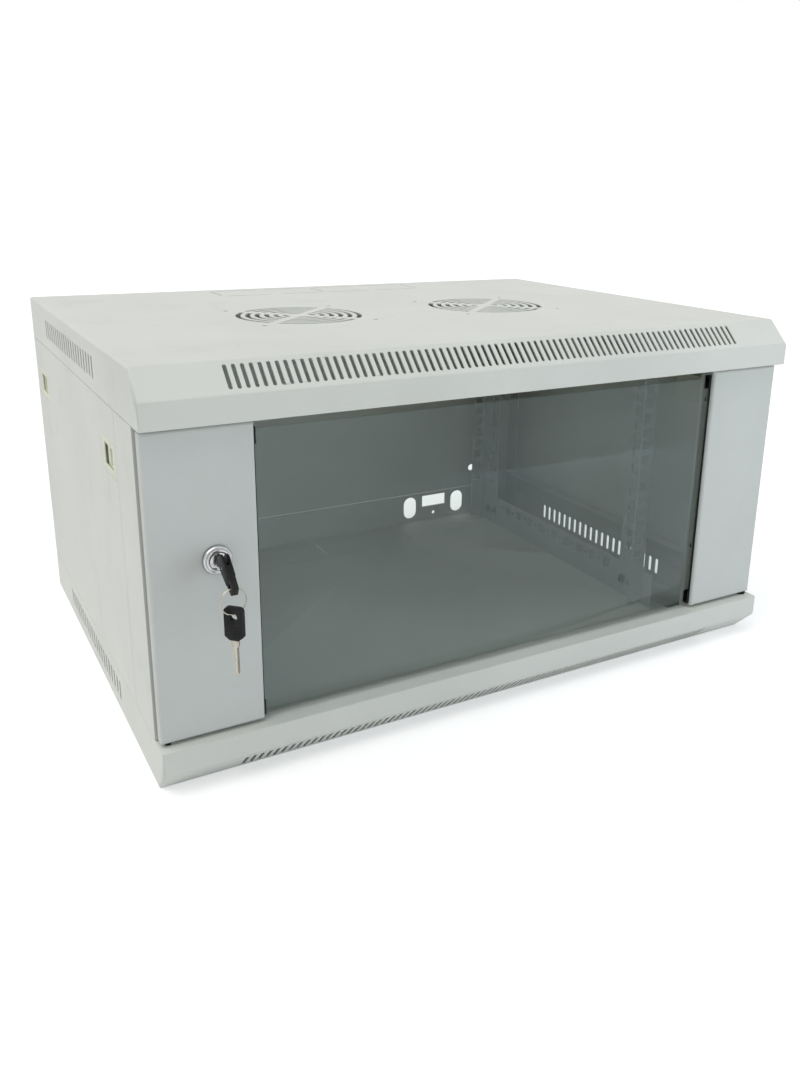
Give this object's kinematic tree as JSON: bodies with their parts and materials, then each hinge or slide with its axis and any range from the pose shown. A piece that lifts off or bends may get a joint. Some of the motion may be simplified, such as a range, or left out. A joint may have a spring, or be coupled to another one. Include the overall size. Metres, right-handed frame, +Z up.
{
  "type": "wall mount network cabinet",
  "caption": "Wall-mount 19 inch network cabinet: folded vented steel case, glazed hinged door with key lock, removable side panels and internal rack rails.",
  "frame": {"origin": "centre of the underside", "axes": "+X to the right seen from the front, +Y to the rear (wall side), +Z up; the door faces -Y"},
  "size_m": [0.6, 0.4821, 0.318],
  "materials": {
    "case_paint": "light grey powder coat, fine texture",
    "door_paint": "light grey powder coat, fine texture",
    "frame_zinc": "grey powder coat on the inner frame",
    "zinc_fastener": "zinc plated fasteners and springs",
    "glass_tint": "grey-green tinted tempered glass",
    "black_rubber": "matt black rubber",
    "latch_plastic": "pale yellow-green moulded plastic",
    "black_plastic": "satin black moulded plastic",
    "chrome_lock": "bright chrome",
    "nickel_key": "nickel plated"
  },
  "bodies": {
    "cabinet": {"top_cover": "case_paint", "bottom_cover": "case_paint", "rear_panel": "case_paint", "front_column_right": "case_paint", "rear_column_right": "case_paint", "side_panel_right": "case_paint", "side_sill_lower_right": "case_paint", "side_sill_upper_right": "case_paint", "depth_bracket_lower_right": "frame_zinc", "depth_bracket_upper_right": "frame_zinc", "rack_rail_front_right": "frame_zinc", "rack_rail_rear_right": "frame_zinc", "latch_housing_front_right": "latch_plastic", "latch_spring_front_right": "zinc_fastener", "latch_housing_rear_right": "latch_plastic", "latch_spring_rear_right": "zinc_fastener", "front_column_left": "case_paint", "rear_column_left": "case_paint", "side_panel_left": "case_paint", "side_sill_lower_left": "case_paint", "side_sill_upper_left": "case_paint", "depth_bracket_lower_left": "frame_zinc", "depth_bracket_upper_left": "frame_zinc", "rack_rail_front_left": "frame_zinc", "rack_rail_rear_left": "frame_zinc", "latch_housing_front_left": "latch_plastic", "latch_spring_front_left": "zinc_fastener", "latch_housing_rear_left": "latch_plastic", "latch_spring_rear_left": "zinc_fastener", "rail_bolts": "zinc_fastener", "rail_nuts": "zinc_fastener", "frame_nuts": "zinc_fastener", "rear_panel_nuts": "zinc_fastener"},
    "door": {"door_plate_right": "door_paint", "door_plate_left": "door_paint", "door_glass": "glass_tint", "glass_clips": "black_plastic", "glass_seal_right": "black_rubber", "glass_seal_left": "black_rubber", "glass_retainer_right": "door_paint", "glass_retainer_left": "door_paint", "lower_hinge_pin": "zinc_fastener", "hinge_washer": "black_plastic", "upper_pin_spring": "zinc_fastener", "lock_housing": "chrome_lock", "lock_nut": "zinc_fastener"},
    "upper_pin": {"upper_hinge_pin": "zinc_fastener"},
    "lock_plug": {"lock_cylinder": "chrome_lock", "lock_cam": "zinc_fastener", "cam_screw": "zinc_fastener"},
    "key": {"key_blade": "nickel_key"},
    "folding_head": {"key_head": "black_plastic", "key_pin": "zinc_fastener"},
    "ring": {"key_ring": "nickel_key"},
    "spare_key": {"spare_key_head": "black_plastic", "spare_key_blade": "nickel_key"},
    "latch_front_right": {"latch_slider_front_right": "latch_plastic"},
    "latch_front_left": {"latch_slider_front_left": "latch_plastic"},
    "latch_rear_right": {"latch_slider_rear_right": "latch_plastic"},
    "latch_rear_left": {"latch_slider_rear_left": "latch_plastic"}
  },
  "joints": [
    {"name": "door_hinge", "type": "hinge", "parent": "cabinet", "child": "door", "pos_m": [0.2925, -0.212, 0.159], "axis": [0, 0, 1], "range_deg": [0, 150]},
    {"name": "upper_pin_slide", "type": "slide", "parent": "door", "child": "upper_pin", "axis": [0, 0, -1], "range_m": [0, 0.008], "stiffness_N_per_m": 400, "springref_m": -0.006, "deforming": ["upper_pin_spring"]},
    {"name": "lock_turn", "type": "hinge", "parent": "door", "child": "lock_plug", "pos_m": [-0.2505, -0.217, 0.179], "axis": [0, 1, 0], "range_deg": [0, 90]},
    {"name": "key_slide", "type": "slide", "parent": "lock_plug", "child": "key", "axis": [0, -1, 0], "range_m": [0, 0.022]},
    {"name": "key_fold", "type": "hinge", "parent": "key", "child": "folding_head", "pos_m": [-0.2505, -0.2348, 0.179], "axis": [1, 0, 0], "range_deg": [-28, 62]},
    {"name": "ring_swing", "type": "hinge", "parent": "folding_head", "child": "ring", "pos_m": [-0.2505, -0.25025, 0.16943], "axis": [1, 0, 0], "range_deg": [-62, 28]},
    {"name": "spare_key_swing", "type": "hinge", "parent": "ring", "child": "spare_key", "pos_m": [-0.2505, -0.25025, 0.14823], "axis": [0, 1, 0], "range_deg": [-15, 15]},
    {"name": "latch_front_right_slide", "type": "slide", "parent": "cabinet", "child": "latch_front_right", "axis": [0, 1, 0], "range_m": [0, 0.006], "stiffness_N_per_m": 300, "springref_m": -0.004, "deforming": ["latch_spring_front_right"]},
    {"name": "latch_front_left_slide", "type": "slide", "parent": "cabinet", "child": "latch_front_left", "axis": [0, 1, 0], "range_m": [0, 0.006], "stiffness_N_per_m": 300, "springref_m": -0.004, "deforming": ["latch_spring_front_left"]},
    {"name": "latch_rear_right_slide", "type": "slide", "parent": "cabinet", "child": "latch_rear_right", "axis": [0, -1, 0], "range_m": [0, 0.006], "stiffness_N_per_m": 300, "springref_m": -0.004, "deforming": ["latch_spring_rear_right"]},
    {"name": "latch_rear_left_slide", "type": "slide", "parent": "cabinet", "child": "latch_rear_left", "axis": [0, -1, 0], "range_m": [0, 0.006], "stiffness_N_per_m": 300, "springref_m": -0.004, "deforming": ["latch_spring_rear_left"]}
  ],
  "couplings": [
    {"joint": "ring_swing", "follows": "key_fold", "ratio": -1}
  ]
}
